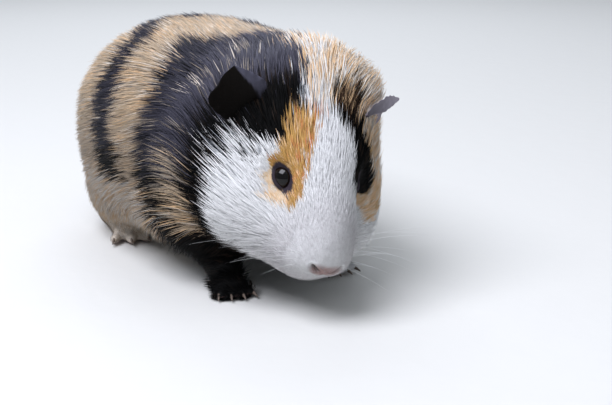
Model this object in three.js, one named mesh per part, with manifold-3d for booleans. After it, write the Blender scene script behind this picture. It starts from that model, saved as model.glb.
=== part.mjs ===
// A guinea pig with a dense coat, standing with its head lowered to graze, at life size.
// Millimetres, +Z up. The animal faces -Y, its left side is +X, and its soles stand on Z = 0.
// The origin is on the floor, under the middle of the animal's bounding box.
//
// The solids are the outer form of the coat. The whole body is one smooth field, the blend of a few
// dozen ellipsoids and tapered limbs, and each sub-part is the stretch of that body between thin cuts.
import * as THREE from "three";
import { mergeVertices } from "three/addons/utils/BufferGeometryUtils.js";
import Module from "manifold-3d";

// ---- Driving dimensions -------------------------------------------------------------------------

const GAP = 0.3; // left free between neighbouring sub-parts

// The head's own frame has its origin in the skull between the brows: x to its left, y backwards,
// z upwards.
const HEAD_ORIGIN = [-1.5, -94, 54];
const HEAD_PITCH = 40; // degrees nose-down
const HEAD_YAW = 13; // degrees towards the animal's right
const HEAD_ROLL = 14; // degrees, left eye lower
const EYE_RADIUS = 5.4;
const EYE_CENTRE = [12.8, 1.8, -3.7]; // of the left eyeball, in the head's frame

const EAR_LENGTH = 21;
const EAR_WIDTH = 24;
const EAR_THICKNESS = 1.5;
// In the head's frame: where each ear grows from, which way, and the way its blade is wide.
const EARS = [
  { side: -1, base: [-29, 23, 6], out: [-0.36, 0.72, 0.6], across: [-0.9, 0.13, -0.4] },
  { side: 1, base: [15.6, 27.4, 13], out: [0.74, 0.54, 0.38], across: [0.3, 0.7, -0.65] },
];

const FOREFOOT = { length: 24, width: 12, toes: 4, toeLength: 8.5, toeRadius: 2.1 };
const HINDFOOT = { length: 42, width: 13, toes: 3, toeLength: 11, toeRadius: 2.6 };
const TOE_FAN = 0.62; // radians between the outermost toes
const FOOT_TOP = 6.4; // where a foot is cut from its leg
const CLAW_LENGTH = 4.6;
const CLAW_RADIUS = 1.2;

// Where the spine is cut: between head and neck, neck and chest, chest and barrel, barrel and rump.
const CUTS = {
  headNeck: { at: [-3, -72, 62], facing: [0.14, 0.86, 0.36] },
  neckChest: { at: [0, -50, 50], facing: [0, 0.97, 0.12] },
  chestBarrel: { at: [0, -14, 45], facing: [0, 1, 0] },
  barrelRump: { at: [0, 44, 45], facing: [0, 1, 0] },
};

// The boxes that the legs are cut out with: inner and outer side from the midline, front, rear, top.
const FORELEG_BOX = { inner: 11, outer: 58, front: -74, rear: -17, top: 31 };
const HINDLEG_BOX = { inner: 19, outer: 72, front: 8, rear: 94, top: 36 };

// The boxes that the surfaces of the head, neck and trunk are made in.
const HEAD_BOX = [
  [-66, -150, -8],
  [54, -40, 112],
];
const NECK_BOX = [
  [-66, -120, 0],
  [66, -20, 120],
];
const TRUNK_BOX = [
  [-72, -80, 0],
  [72, 130, 120],
];

// Grid steps of the surfaces: small where the form is fine.
const STEP = { head: 4, neck: 9, trunk: 12, limb: 7.6, foot: 3 };

// ---- Fields: the distance from a point to a shape, negative inside ---------------------------------

const vec = (a) => new THREE.Vector3(...a);

function headMatrix() {
  const turn = new THREE.Euler(
    THREE.MathUtils.degToRad(HEAD_PITCH),
    THREE.MathUtils.degToRad(HEAD_ROLL),
    THREE.MathUtils.degToRad(-HEAD_YAW),
    "ZXY",
  );
  return new THREE.Matrix4().compose(
    vec(HEAD_ORIGIN),
    new THREE.Quaternion().setFromEuler(turn),
    new THREE.Vector3(1, 1, 1),
  );
}

const HEAD = headMatrix();
const TO_HEAD = HEAD.clone().invert();

function ellipsoid(centre, radii) {
  return (p) => {
    const x = (p.x - centre[0]) / radii[0];
    const y = (p.y - centre[1]) / radii[1];
    const z = (p.z - centre[2]) / radii[2];
    const near = Math.hypot(x, y, z);
    const steep = Math.hypot(x / radii[0], y / radii[1], z / radii[2]);
    return steep < 1e-9 ? -Math.min(...radii) : (near * (near - 1)) / steep;
  };
}

// A limb whose radius goes evenly from one end to the other.
function taper(from, to, radiusFrom, radiusTo) {
  const a = vec(from);
  const run = vec(to).sub(a);
  const square = run.lengthSq();
  const offset = new THREE.Vector3();
  return (p) => {
    offset.copy(p).sub(a);
    const t = THREE.MathUtils.clamp(offset.dot(run) / square, 0, 1);
    const radius = radiusFrom + (radiusTo - radiusFrom) * t;
    return offset.addScaledVector(run, -t).length() - radius;
  };
}

// Joins fields as wet clay joins: two surfaces closer than the blend flow into one.
function blended(blend, ...fields) {
  return (p) => {
    let d = fields[0](p);
    for (let i = 1; i < fields.length; i++) {
      const e = fields[i](p);
      const h = Math.max(blend - Math.abs(d - e), 0) / blend;
      d = Math.min(d, e) - h * h * blend * 0.25;
    }
    return d;
  };
}

// Takes one shape out of another, with a rounded edge.
function hollowed(blend, field, hollow) {
  return (p) => {
    const d = field(p);
    const e = -hollow(p);
    const h = Math.max(blend - Math.abs(d - e), 0) / blend;
    return Math.max(d, e) + h * h * blend * 0.25;
  };
}

function inFrame(toFrame, field) {
  const local = new THREE.Vector3();
  return (p) => field(local.copy(p).applyMatrix4(toFrame));
}

const pair = (make) => [make(-1), make(1)];

function headField() {
  const skull = blended(
    10,
    ellipsoid([0, 15, 0], [22, 26, 18]), // cranium
    ellipsoid([0, -4, -3], [12.5, 25, 13.5]), // bridge of the face
    ellipsoid([0, -19, -9], [13, 17.5, 12.5]), // muzzle
    ellipsoid([0, -8, -24], [19, 23, 13.5]), // jaw
    ...pair((side) => ellipsoid([side * 17, 11, -26], [21.5, 25, 22])), // cheeks
    ellipsoid([0, 34, -6], [33, 21, 27]), // back of the head
  );
  const face = blended(
    5,
    skull,
    ...pair((side) => ellipsoid([side * 7.2, -0.5, 1], [6, 9.5, 7.6])), // orbits
    ...pair((side) => ellipsoid([side * 6.5, -26, -13], [7.5, 9, 7.5])), // whisker pads
    ellipsoid([0, -30.5, -8], [7, 6.5, 6.5]), // nose
    ellipsoid([0, -19, -26], [9, 8, 6.5]), // chin
  );
  const eyeDishes = pair((side) => ellipsoid([side * 18.9, -4.4, 1.2], [6.4, 7.8, 6.6]));
  return inFrame(
    TO_HEAD,
    eyeDishes.reduce((rest, dish) => hollowed(4, rest, dish), face),
  );
}

function trunkField() {
  return blended(
    20,
    ellipsoid([0, 60, 54], [56, 51, 47.5]), // rump
    ellipsoid([0, 14, 58], [56, 58, 46.5]), // barrel
    ...pair((side) => ellipsoid([side * 28, 14, 35], [27, 56, 25])), // flanks
    ellipsoid([0, -30, 57.5], [48, 43, 45]), // chest
    ellipsoid([7, -57, 68], [38, 28, 36]), // nape
  );
}

const FORELEGS = [
  {
    side: -1,
    elbow: [-31, -38, 30],
    wrist: [-26, -52, 9],
    foot: [-26, -59, 0],
    heading: -8,
  },
  {
    side: 1,
    elbow: [31, -34, 30],
    wrist: [24, -42, 9],
    foot: [24, -49, 0],
    heading: 8,
  },
];
const HINDLEGS = pair((side) => ({
  side,
  hip: [side * 38, 52, 36],
  knee: [side * 42, 28, 23],
  hock: [side * 38, 60, 9],
  foot: [side * 41, 36, 0],
  heading: side * 10,
}));

function forelegField(leg) {
  return blended(8, taper(leg.elbow, leg.wrist, 14, 6.5), taper(leg.wrist, leg.foot.with(2, 6), 6.5, 5));
}

function hindlegField(leg) {
  return blended(
    10,
    ellipsoid(leg.hip, [17, 30, 27]),
    taper(leg.knee, leg.hock, 13, 8),
    taper(leg.hock, [leg.foot[0], leg.foot[1], 6], 8, 5.5),
  );
}

// A foot points along -Y turned outwards by its heading. Its toes fan out from the ball.
function toesOf(leg, size) {
  const heading = THREE.MathUtils.degToRad(leg.heading);
  const toes = [];
  for (let i = 0; i < size.toes; i++) {
    const across = size.toes > 1 ? i / (size.toes - 1) - 0.5 : 0;
    const turn = heading + across * TOE_FAN;
    const away = new THREE.Vector3(Math.sin(turn), -Math.cos(turn), 0);
    const side = new THREE.Vector3(Math.cos(heading), Math.sin(heading), 0);
    const root = vec(leg.foot)
      .addScaledVector(side, across * (size.width - 2 * size.toeRadius))
      .setZ(size.toeRadius * 1.15);
    const reach = size.toeLength * (1 - 0.5 * across * across);
    const tip = root.clone().addScaledVector(away, reach).setZ(size.toeRadius * 0.95);
    toes.push({ root, tip, away });
  }
  return toes;
}

function footField(leg, size) {
  const heading = THREE.MathUtils.degToRad(leg.heading);
  const back = new THREE.Vector3(-Math.sin(heading), Math.cos(heading), 0);
  const ball = vec(leg.foot).setZ(3.4);
  const heel = ball.clone().addScaledVector(back, size.length - size.toeLength - size.width / 2);
  const toes = toesOf(leg, size).map((toe) =>
    taper(toe.root.toArray(), toe.tip.toArray(), size.toeRadius * 1.1, size.toeRadius * 0.85),
  );
  return blended(
    2.4,
    ellipsoid(ball.toArray(), [size.width / 2, size.width / 2, 4.2]),
    taper(ball.toArray(), heel.toArray(), 4.4, 4.6),
    ...toes,
  );
}

const HEAD_SHAPE = headField();
const LIMBS = [
  ...FORELEGS.map((leg) => ({ leg, size: FOREFOOT, box: FORELEG_BOX, field: forelegField(leg) })),
  ...HINDLEGS.map((leg) => ({ leg, size: HINDFOOT, box: HINDLEG_BOX, field: hindlegField(leg) })),
];
const FEET = LIMBS.map(({ leg, size }) => footField(leg, size));
const BODY = blended(
  7,
  blended(16, trunkField(), HEAD_SHAPE),
  ...LIMBS.map((limb) => limb.field),
);
const WHOLE = blended(4, BODY, ...FEET);

// ---- Surfaces of fields ----------------------------------------------------------------------------

const CORNERS = [0, 1, 2, 3, 4, 5, 6, 7].map((n) => [n & 1, (n >> 1) & 1, n >> 2]);
const EDGES = CORNERS.flatMap((a, i) =>
  CORNERS.map((b, j) => [i, j, Math.abs(a[0] - b[0]) + Math.abs(a[1] - b[1]) + Math.abs(a[2] - b[2])])
    .filter(([from, to, apart]) => from < to && apart === 1),
);

// The groups that a cell's corners of one kind fall into, joined along the cell's edges.
function groupsOf(kind) {
  const group = kind.map((_, m) => m);
  for (let turn = 0; turn < 3; turn++)
    for (const [a, b] of EDGES)
      if (kind[a] === kind[b]) group[a] = group[b] = Math.min(group[a], group[b]);
  return group;
}

// Where two stretches of surface pass through one cell, its weakest stray corner changes sides, so
// that each cell holds a single stretch and the surface stays closed and simple.
function untangle(value, n, at) {
  const corner = CORNERS.map(() => 0);
  const rimValue = value[0];
  for (let found = true; found; ) {
    found = false;
    for (let k = 0; k < n[2] - 1; k++)
      for (let j = 0; j < n[1] - 1; j++)
        for (let i = 0; i < n[0] - 1; i++) {
          CORNERS.forEach(([a, b, c], m) => (corner[m] = value[at(i + a, j + b, k + c)]));
          const kind = corner.map((v) => v < 0);
          if (kind.every((x) => x) || !kind.some((x) => x)) continue;
          const group = groupsOf(kind);
          for (const side of [true, false]) {
            const mine = group.filter((_, m) => kind[m] === side);
            const size = (g) => mine.filter((x) => x === g).length;
            const main = mine.reduce((a, b) => (size(b) > size(a) ? b : a));
            const stray = CORNERS.map((_, m) => m)
              .filter((m) => kind[m] === side && group[m] !== main && corner[m] !== rimValue)
              .sort((a, b) => Math.abs(corner[a]) - Math.abs(corner[b]));
            if (!stray.length) continue;
            const [a, b, c] = CORNERS[stray[0]];
            value[at(i + a, j + b, k + c)] = side ? 1e-3 : -1e-3;
            found = true;
            break;
          }
        }
  }
}

// Moves a point down the field's slope on to the surface, but no further than the reach.
function settle(point, field, reach) {
  const start = point.clone();
  const slope = new THREE.Vector3();
  const probe = new THREE.Vector3();
  const h = 0.05; // a small step, to measure the slope with
  for (let turn = 0; turn < 4; turn++) {
    const d = field(point);
    for (const axis of ["x", "y", "z"]) {
      probe.copy(point)[axis] += h;
      slope[axis] = (field(probe) - d) / h;
    }
    point.addScaledVector(slope, -d / Math.max(slope.lengthSq(), 0.2));
  }
  if (point.distanceTo(start) > reach) point.copy(start);
  return point;
}

// The closed surface of a field inside a box, one vertex to each grid cell that the surface crosses.
function surfaceOf(field, low, high, step) {
  const n = low.map((l, i) => Math.ceil((high[i] - l) / step) + 1);
  const at = (i, j, k) => i + n[0] * (j + n[1] * k);
  const place = (i, j, k) => new THREE.Vector3(low[0] + i * step, low[1] + j * step, low[2] + k * step);
  const value = new Float64Array(n[0] * n[1] * n[2]);
  for (let k = 0; k < n[2]; k++)
    for (let j = 0; j < n[1]; j++)
      for (let i = 0; i < n[0]; i++) {
        const rim = [i, j, k].some((x, axis) => x === 0 || x === n[axis] - 1);
        value[at(i, j, k)] = rim ? step : field(place(i, j, k)) || 1e-6;
      }

  untangle(value, n, at);

  const positions = [];
  const vertexOf = new Map();
  const corner = CORNERS.map(() => 0);
  for (let k = 0; k < n[2] - 1; k++)
    for (let j = 0; j < n[1] - 1; j++)
      for (let i = 0; i < n[0] - 1; i++) {
        CORNERS.forEach(([a, b, c], m) => (corner[m] = value[at(i + a, j + b, k + c)]));
        const inside = corner.filter((v) => v < 0).length;
        if (inside === 0 || inside === 8) continue;
        const mean = new THREE.Vector3();
        let crossings = 0;
        for (const [a, b] of EDGES) {
          if (corner[a] < 0 === corner[b] < 0) continue;
          const t = corner[a] / (corner[a] - corner[b]);
          mean.add(vec(CORNERS[a]).lerp(vec(CORNERS[b]), t));
          crossings++;
        }
        mean.multiplyScalar(step / crossings).add(place(i, j, k));
        settle(mean, field, step * 0.7);
        vertexOf.set(at(i, j, k), positions.length / 3);
        positions.push(mean.x, mean.y, mean.z);
      }

  const index = [];
  const cell = (i, j, k) => vertexOf.get(at(i, j, k));
  const quad = (corners, flip) => {
    const [a, b, c, d] = flip ? [...corners].reverse() : corners;
    const apart = (p, q) =>
      Math.hypot(...[0, 1, 2].map((m) => positions[3 * p + m] - positions[3 * q + m]));
    if (apart(a, c) <= apart(b, d)) index.push(a, b, c, a, c, d);
    else index.push(b, c, d, b, d, a);
  };
  for (let k = 0; k < n[2] - 1; k++)
    for (let j = 0; j < n[1] - 1; j++)
      for (let i = 0; i < n[0] - 1; i++) {
        const here = value[at(i, j, k)] < 0;
        if (j && k && here !== value[at(i + 1, j, k)] < 0)
          quad([cell(i, j - 1, k - 1), cell(i, j, k - 1), cell(i, j, k), cell(i, j - 1, k)], !here);
        if (i && k && here !== value[at(i, j + 1, k)] < 0)
          quad([cell(i - 1, j, k - 1), cell(i - 1, j, k), cell(i, j, k), cell(i, j, k - 1)], !here);
        if (i && j && here !== value[at(i, j, k + 1)] < 0)
          quad([cell(i - 1, j - 1, k), cell(i, j - 1, k), cell(i, j, k), cell(i - 1, j, k)], !here);
      }
  return new THREE.BufferGeometry()
    .setAttribute("position", new THREE.Float32BufferAttribute(positions, 3))
    .setIndex(index);
}

// A closed tube through rings of equal point counts, its ends drawn to a point.
function loft(rings) {
  const sides = rings[0].length;
  const middle = (ring) =>
    ring.reduce((sum, p) => sum.add(p), new THREE.Vector3()).divideScalar(ring.length);
  const points = [...rings.flat(), middle(rings[0]), middle(rings.at(-1))];
  const first = points.length - 2;
  const last = points.length - 1;
  const index = [];
  for (let s = 0; s < sides; s++) {
    const t = (s + 1) % sides;
    index.push(first, t, s);
    for (let r = 0; r < rings.length - 1; r++) {
      const a = r * sides;
      const b = a + sides;
      index.push(a + s, a + t, b + t, a + s, b + t, b + s);
    }
    const end = (rings.length - 1) * sides;
    index.push(last, end + s, end + t);
  }
  return new THREE.BufferGeometry().setFromPoints(points).setIndex(index);
}

// ---- Cutting and joining -----------------------------------------------------------------------------

const wasm = await Module();
wasm.setup();

function solidOf(geometry) {
  const bare = geometry.clone();
  bare.deleteAttribute("normal");
  bare.deleteAttribute("uv");
  const merged = mergeVertices(bare, 1e-4);
  return new wasm.Manifold(
    new wasm.Mesh({
      numProp: 3,
      vertProperties: merged.attributes.position.array,
      triVerts: new Uint32Array(merged.index.array),
    }),
  );
}

function geometryOf(solid) {
  const mesh = solid.getMesh();
  return new THREE.BufferGeometry()
    .setAttribute("position", new THREE.BufferAttribute(mesh.vertProperties, 3))
    .setIndex(new THREE.BufferAttribute(mesh.triVerts, 1));
}

const FAR = 400;

// Everything on the side of a plane that it faces, starting a distance beyond it.
function beyond({ at, facing }, distance = GAP / 2) {
  const normal = vec(facing).normalize();
  const turn = new THREE.Quaternion().setFromUnitVectors(new THREE.Vector3(0, 0, 1), normal);
  const box = new THREE.BoxGeometry(FAR, FAR, FAR)
    .translate(0, 0, FAR / 2 + distance)
    .applyQuaternion(turn)
    .translate(...at);
  return solidOf(box);
}

const before = ({ at, facing }, distance) =>
  beyond({ at, facing: facing.map((x) => -x) }, distance);

function boxSolid(low, high) {
  const size = high.map((h, i) => h - low[i]);
  const centre = high.map((h, i) => (h + low[i]) / 2);
  return solidOf(new THREE.BoxGeometry(...size).translate(...centre));
}

function ball(centre, radius, detail) {
  return solidOf(new THREE.SphereGeometry(radius, 2 * detail, detail).translate(...centre));
}

// The body's surface between two corners, cut flat at the floor.
function bodyBetween(low, high, step) {
  const surface = surfaceOf(WHOLE, low.with(2, Math.min(low[2], -2 * step)), high, step);
  return solidOf(surface).intersect(boxSolid([-FAR, -FAR, 0], [FAR, FAR, FAR]));
}

// The box that holds a limb, with a margin.
function limbBox({ leg, box }, margin = 0) {
  const xs = [leg.side * box.inner, leg.side * box.outer].sort((a, b) => a - b);
  return [
    [xs[0] - margin, box.front - margin, -1],
    [xs[1] + margin, box.rear + margin, box.top + margin],
  ];
}

// The box that holds a foot: the lowest part of its limb.
function footBox({ leg, size }, margin = 0) {
  const [x, y] = leg.foot;
  const half = 0.9 * size.width + margin;
  const front = y - 2 * size.toeLength;
  const rear = y + size.length - size.toeLength;
  return [
    [x - half, front - margin, -1],
    [x + half, rear + margin, FOOT_TOP + margin],
  ];
}

// ---- Sub-parts --------------------------------------------------------------------------------------

const animal = new THREE.Group();
const COLOURS = {
  white_coat: 0xd9dde3,
  dark_coat: 0x35343b,
  tan_coat: 0xc9a983,
  bare_skin: 0x8b7f86,
  eye: 0x0d0b0c,
  claw: 0xb9a48e,
};

function addPart(name, solid, slot, roughness = 0.9) {
  const material = new THREE.MeshStandardMaterial({
    color: COLOURS[slot],
    roughness,
    metalness: 0,
    flatShading: true,
  });
  const mesh = new THREE.Mesh(geometryOf(solid), material);
  mesh.name = name;
  animal.add(mesh);
}

const headPoint = (x, y, z) => new THREE.Vector3(x, y, z).applyMatrix4(HEAD);
const sideName = (side) => (side < 0 ? "right" : "left");

const withoutLimbs = (solid) =>
  LIMBS.reduce((rest, limb) => rest.subtract(boxSolid(...limbBox(limb, GAP))), solid);

function addTrunk() {
  const neck = bodyBetween(...NECK_BOX, STEP.neck)
    .intersect(beyond(CUTS.headNeck))
    .intersect(before(CUTS.neckChest));
  const trunk = bodyBetween(...TRUNK_BOX, STEP.trunk);
  const chest = trunk.intersect(beyond(CUTS.neckChest)).intersect(before(CUTS.chestBarrel));
  const barrel = trunk.intersect(beyond(CUTS.chestBarrel)).intersect(before(CUTS.barrelRump));
  const rump = trunk.intersect(beyond(CUTS.barrelRump));
  addPart("neck", withoutLimbs(neck), "dark_coat");
  addPart("chest", withoutLimbs(chest), "dark_coat");
  addPart("barrel", withoutLimbs(barrel), "tan_coat");
  addPart("rump", withoutLimbs(rump), "dark_coat");
}

function eyeBall(side, radius, detail) {
  const [x, y, z] = EYE_CENTRE;
  return ball(headPoint(side * x, y, z).toArray(), radius, detail);
}

function addEyes() {
  for (const side of [-1, 1])
    addPart("eye_" + sideName(side), eyeBall(side, EYE_RADIUS, 8), "eye", 0.08);
}

function addHead() {
  const head = bodyBetween(...HEAD_BOX, STEP.head).intersect(before(CUTS.headNeck));
  const sockets = eyeBall(-1, EYE_RADIUS + 2 * GAP, 7).add(eyeBall(1, EYE_RADIUS + 2 * GAP, 7));
  addPart("head", withoutLimbs(head).subtract(sockets), "white_coat");
}

// The ear is a petal that grows outwards from its base. Its hollow faces forwards, its tip nods
// forwards and its inner edge is rolled over.
function earSolid({ side, base, out, across }) {
  const grow = vec(out).normalize();
  const wide = vec(across).addScaledVector(grow, -vec(across).dot(grow)).normalize();
  const front = wide.clone().cross(grow).multiplyScalar(side);
  const rows = 9;
  const sides = 16;
  const rings = [];
  for (let r = 0; r < rows; r++) {
    const t = r / (rows - 1);
    const spine = vec(base)
      .addScaledVector(grow, EAR_LENGTH * t * (1 - 0.1 * t * t))
      .addScaledVector(wide, EAR_LENGTH * -0.12 * t * t)
      .addScaledVector(front, EAR_LENGTH * 0.22 * t * t);
    const half = (EAR_WIDTH / 2) * Math.sqrt(Math.max(1 - Math.pow(Math.abs(t - 0.5) / 0.53, 2.4), 0.014));
    const thick = (EAR_THICKNESS * (1.5 - 0.8 * t)) / 2;
    const ring = [];
    for (let s = 0; s < sides; s++) {
      const angle = (2 * Math.PI * s) / sides;
      const x = half * Math.cos(angle);
      const cup = (x < 0 ? 0.042 : 0.014) * x * x + 0.5 * t * Math.sin(x * 0.6);
      ring.push(
        spine
          .clone()
          .addScaledVector(wide, x)
          .addScaledVector(front, cup + thick * Math.sin(angle)),
      );
    }
    rings.push(side < 0 ? ring : ring.reverse());
  }
  return solidOf(loft(rings).applyMatrix4(HEAD));
}

function addEars() {
  const head = solidOf(surfaceOf((p) => BODY(p) - GAP, ...HEAD_BOX, STEP.head));
  for (const ear of EARS) {
    const pieces = earSolid(ear).subtract(head).decompose();
    const largest = pieces.reduce((a, b) => (b.volume() > a.volume() ? b : a));
    addPart("ear_" + sideName(ear.side), largest, "bare_skin", 0.6);
  }
}

// A claw starts just ahead of its toe's end and curves down to a blunt point.
function clawSolid(toe, toeRadius) {
  const rings = [];
  const rows = 4;
  const sides = 6;
  const up = new THREE.Vector3(0, 0, 1);
  const across = up.clone().cross(toe.away).normalize();
  for (let r = 0; r < rows; r++) {
    const t = r / (rows - 1);
    const centre = toe.tip
      .clone()
      .addScaledVector(toe.away, toeRadius + GAP + CLAW_LENGTH * t)
      .addScaledVector(up, 0.5 - 1.2 * t * t);
    const radius = CLAW_RADIUS * (1 - 0.7 * t);
    const ring = [];
    for (let s = 0; s < sides; s++) {
      const angle = (2 * Math.PI * s) / sides;
      ring.push(
        centre
          .clone()
          .addScaledVector(across, radius * 0.8 * Math.cos(angle))
          .addScaledVector(up, radius * Math.sin(angle)),
      );
    }
    rings.push(ring);
  }
  return solidOf(loft(rings));
}

function addLimbs() {
  // The surface is made with a margin around the box, as it is closed off just inside its own.
  const within = ([low, high], step) =>
    bodyBetween(low.map((x) => x - 2 * step), high.map((x) => x + 2 * step), step)
      .intersect(boxSolid(low, high));
  LIMBS.forEach((limb) => {
    const { leg, size } = limb;
    const fore = size === FOREFOOT;
    const name = (fore ? "fore" : "hind") + "%_" + sideName(leg.side);
    const upper = within(limbBox(limb), STEP.limb).subtract(boxSolid(...footBox(limb, GAP)));
    addPart(name.replace("%", "leg"), upper, fore ? "dark_coat" : "tan_coat");
    addPart(name.replace("%", "foot"), within(footBox(limb), STEP.foot), "bare_skin");
    toesOf(leg, size).forEach((toe, t) => {
      addPart(`${name.replace("%", "claw")}_${t + 1}`, clawSolid(toe, size.toeRadius), "claw", 0.45);
    });
  });
}

addHead();
addEyes();
addEars();
addTrunk();
addLimbs();

// The origin goes under the middle of the whole animal, on the floor.
const bounds = new THREE.Box3().setFromObject(animal);
const middle = bounds.getCenter(new THREE.Vector3());
animal.position.set(-middle.x, -middle.y, 0);

const guineaPig = new THREE.Group();
guineaPig.add(animal);

export default guineaPig;
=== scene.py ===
"""A guinea pig with a dense tricolour coat, head lowered to graze: a still museum model at life size.

Metres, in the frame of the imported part: the animal faces -Y, its left side is +X, its soles are on
Z = 0. Millimetres are used where a comment says so. The sections follow the model as a preparator
would make it: the stand it is seen on, the skin, ears, markings, coat, eyes, claws and whiskers.
"""

import math

import bpy
import numpy as np
from mathutils import Matrix, Vector
from mathutils.kdtree import KDTree


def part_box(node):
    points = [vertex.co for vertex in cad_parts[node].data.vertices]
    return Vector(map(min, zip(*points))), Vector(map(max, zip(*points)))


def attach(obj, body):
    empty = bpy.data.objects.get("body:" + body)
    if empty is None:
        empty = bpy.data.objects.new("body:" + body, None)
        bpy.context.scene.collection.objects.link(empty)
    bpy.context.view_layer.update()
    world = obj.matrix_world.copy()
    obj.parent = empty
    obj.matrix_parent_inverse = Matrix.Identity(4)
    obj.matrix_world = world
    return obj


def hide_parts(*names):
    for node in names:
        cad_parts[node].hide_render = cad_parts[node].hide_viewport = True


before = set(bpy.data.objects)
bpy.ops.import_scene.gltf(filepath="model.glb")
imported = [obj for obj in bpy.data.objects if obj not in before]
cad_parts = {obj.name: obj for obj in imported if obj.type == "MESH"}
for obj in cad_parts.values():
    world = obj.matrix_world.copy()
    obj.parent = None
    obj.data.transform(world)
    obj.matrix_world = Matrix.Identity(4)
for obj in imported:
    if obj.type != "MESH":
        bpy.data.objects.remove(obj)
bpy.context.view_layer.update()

# ---- Camera ----------------------------------------------------------
# A short telephoto lens at arm's length, a little above the animal's back and off its right
# shoulder, looking at the face.

CAMERA_TARGET = Vector((-0.0105, -0.0965, 0.0470))
CAMERA_TURN = math.radians(-25)
CAMERA_RISE = math.radians(15)
CAMERA_DISTANCE = 0.492
CAMERA_LENS = 75  # millimetres

towards_camera = Vector(
    (
        math.sin(CAMERA_TURN) * math.cos(CAMERA_RISE),
        -math.cos(CAMERA_TURN) * math.cos(CAMERA_RISE),
        math.sin(CAMERA_RISE),
    )
)
bpy.ops.object.camera_add(
    location=CAMERA_TARGET + towards_camera * CAMERA_DISTANCE,
    rotation=towards_camera.to_track_quat("Z", "Y").to_euler(),
)
camera = bpy.context.object
camera.data.lens = CAMERA_LENS
camera.data.clip_start = 0.01
bpy.context.scene.camera = camera

# ---- Floor and light -------------------------------------------------
# A pale matt studio floor. The light is soft and cool like an overcast sky: a pale world, a wide
# panel overhead, a smaller one that puts the window in the eye, and one behind that edges the coat.

MM = 0.001
FLOOR_SIZE = 8.0
FLOOR_COLOUR = "#d9d8d4"
DIMPLE_SIZE = 1 / 60  # 17 mm, coarser than a roller's real stipple, so that it shows
DIMPLE_DEPTH = 0.4 * MM
SKY_COLOUR = "#dfe6f0"
SKY_STRENGTH = 0.44
PANELS = [
    # name, place, size, watts, colour
    ("overhead", (-0.20, -0.25, 1.25), 1.5, 2.0, "#f2f6ff"),
    ("window", (-0.55, -0.23, 1.00), 0.75, 16.5, "#f2f4ff"),
    ("rim", (0.35, 0.95, 0.85), 0.8, 6.0, "#eef4ff"),
]


def linear(code):
    """The linear colour of an sRGB hex value."""
    parts = [int(code[i : i + 2], 16) / 255 for i in (1, 3, 5)]
    return [p / 12.92 if p <= 0.04045 else ((p + 0.055) / 1.055) ** 2.4 for p in parts]


def add_node(tree, kind, inputs, **settings):
    """Adds a node with its settings; an input is a value, or the socket that it is linked to."""
    node = tree.nodes.new(kind)
    for name, value in settings.items():
        setattr(node, name, value)
    for name, value in inputs.items():
        if isinstance(value, bpy.types.NodeSocket):
            tree.links.new(value, node.inputs[name])
        else:
            node.inputs[name].default_value = value
    return node


def new_material(name):
    material = bpy.data.materials.new(name)
    material.use_nodes = True
    material.node_tree.nodes.clear()
    return material, material.node_tree


bpy.ops.mesh.primitive_plane_add(size=FLOOR_SIZE, location=(0, 0, 0))
floor = bpy.context.object
floor.name = "studio_floor"
# Painted board: matt, with a trace of roller texture that breaks its one flat tone.
board, tree = new_material("painted_board")
place = add_node(tree, "ShaderNodeTexCoord", {})
dimples = add_node(
    tree, "ShaderNodeTexNoise", {"Vector": place.outputs["Object"], "Scale": 1 / DIMPLE_SIZE}
)
relief = add_node(tree, "ShaderNodeBump", {"Height": dimples.outputs["Fac"], "Distance": DIMPLE_DEPTH})
paint = add_node(
    tree,
    "ShaderNodeBsdfPrincipled",
    {"Base Color": linear(FLOOR_COLOUR) + [1], "Roughness": 0.85, "Normal": relief.outputs["Normal"]},
)
add_node(tree, "ShaderNodeOutputMaterial", {"Surface": paint.outputs["BSDF"]})
floor.data.materials.append(board)

sky = bpy.data.worlds.new("overcast_sky")
sky.use_nodes = True
sky_light = sky.node_tree.nodes["Background"]
sky_light.inputs["Color"].default_value = linear(SKY_COLOUR) + [1]
sky_light.inputs["Strength"].default_value = SKY_STRENGTH
bpy.context.scene.world = sky
bpy.context.scene.view_settings.view_transform = "Standard"

for name, place, size, watts, colour in PANELS:
    aim = (Vector(place) - CAMERA_TARGET).to_track_quat("Z", "Y").to_euler()
    bpy.ops.object.light_add(type="AREA", location=place, rotation=aim)
    panel = bpy.context.object
    panel.name = "panel_" + name
    panel.data.size = size
    panel.data.energy = watts
    panel.data.color = linear(colour)

# ---- Skin ------------------------------------------------------------
# One unbroken hide over head, trunk, legs and feet, laid inside the solids by the depth of the coat.
# The flesh solids are grown over their parting gaps, fused, smoothed and drawn in. Then come the
# toes, and on the face the lids, nostrils and lips.

SIDES = {"left": 1, "right": -1}
LIMBS = ("foreleg_", "forefoot_", "hindleg_", "hindfoot_")
FLESH = ["head", "neck", "chest", "barrel", "rump"] + [limb + side for limb in LIMBS for side in SIDES]
GAP_COVER = 0.35 * MM  # more than half the gap between two solids
FUSE_VOXEL = 1.3 * MM
SKIN_VOXEL = 1.15 * MM
MERGE_REACH = 0.01 * MM

# The head's own frame: x to its left, y backwards, z upwards, its origin between the brows.
HEAD_TURNS = (-13, 40, 14)  # degrees: about the upright, then nose-down, then ear-down
EYE_PLACE = np.array([12.8, 1.8, -3.7])  # the left eyeball's centre in that frame, in millimetres
HEAD_AXES = np.array(
    Matrix.Rotation(math.radians(HEAD_TURNS[0]), 3, "Z")
    @ Matrix.Rotation(math.radians(HEAD_TURNS[1]), 3, "X")
    @ Matrix.Rotation(math.radians(HEAD_TURNS[2]), 3, "Y")
)
eye_centres = {side: np.array(sum(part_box("eye_" + side), Vector()) / 2) for side in SIDES}
eye_low, eye_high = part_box("eye_right")
EYE_RADIUS = (eye_high - eye_low).x / 2
HEAD_ORIGIN = (eye_centres["left"] + eye_centres["right"]) / 2 - HEAD_AXES @ (
    EYE_PLACE * [0, 1, 1] * MM
)


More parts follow.
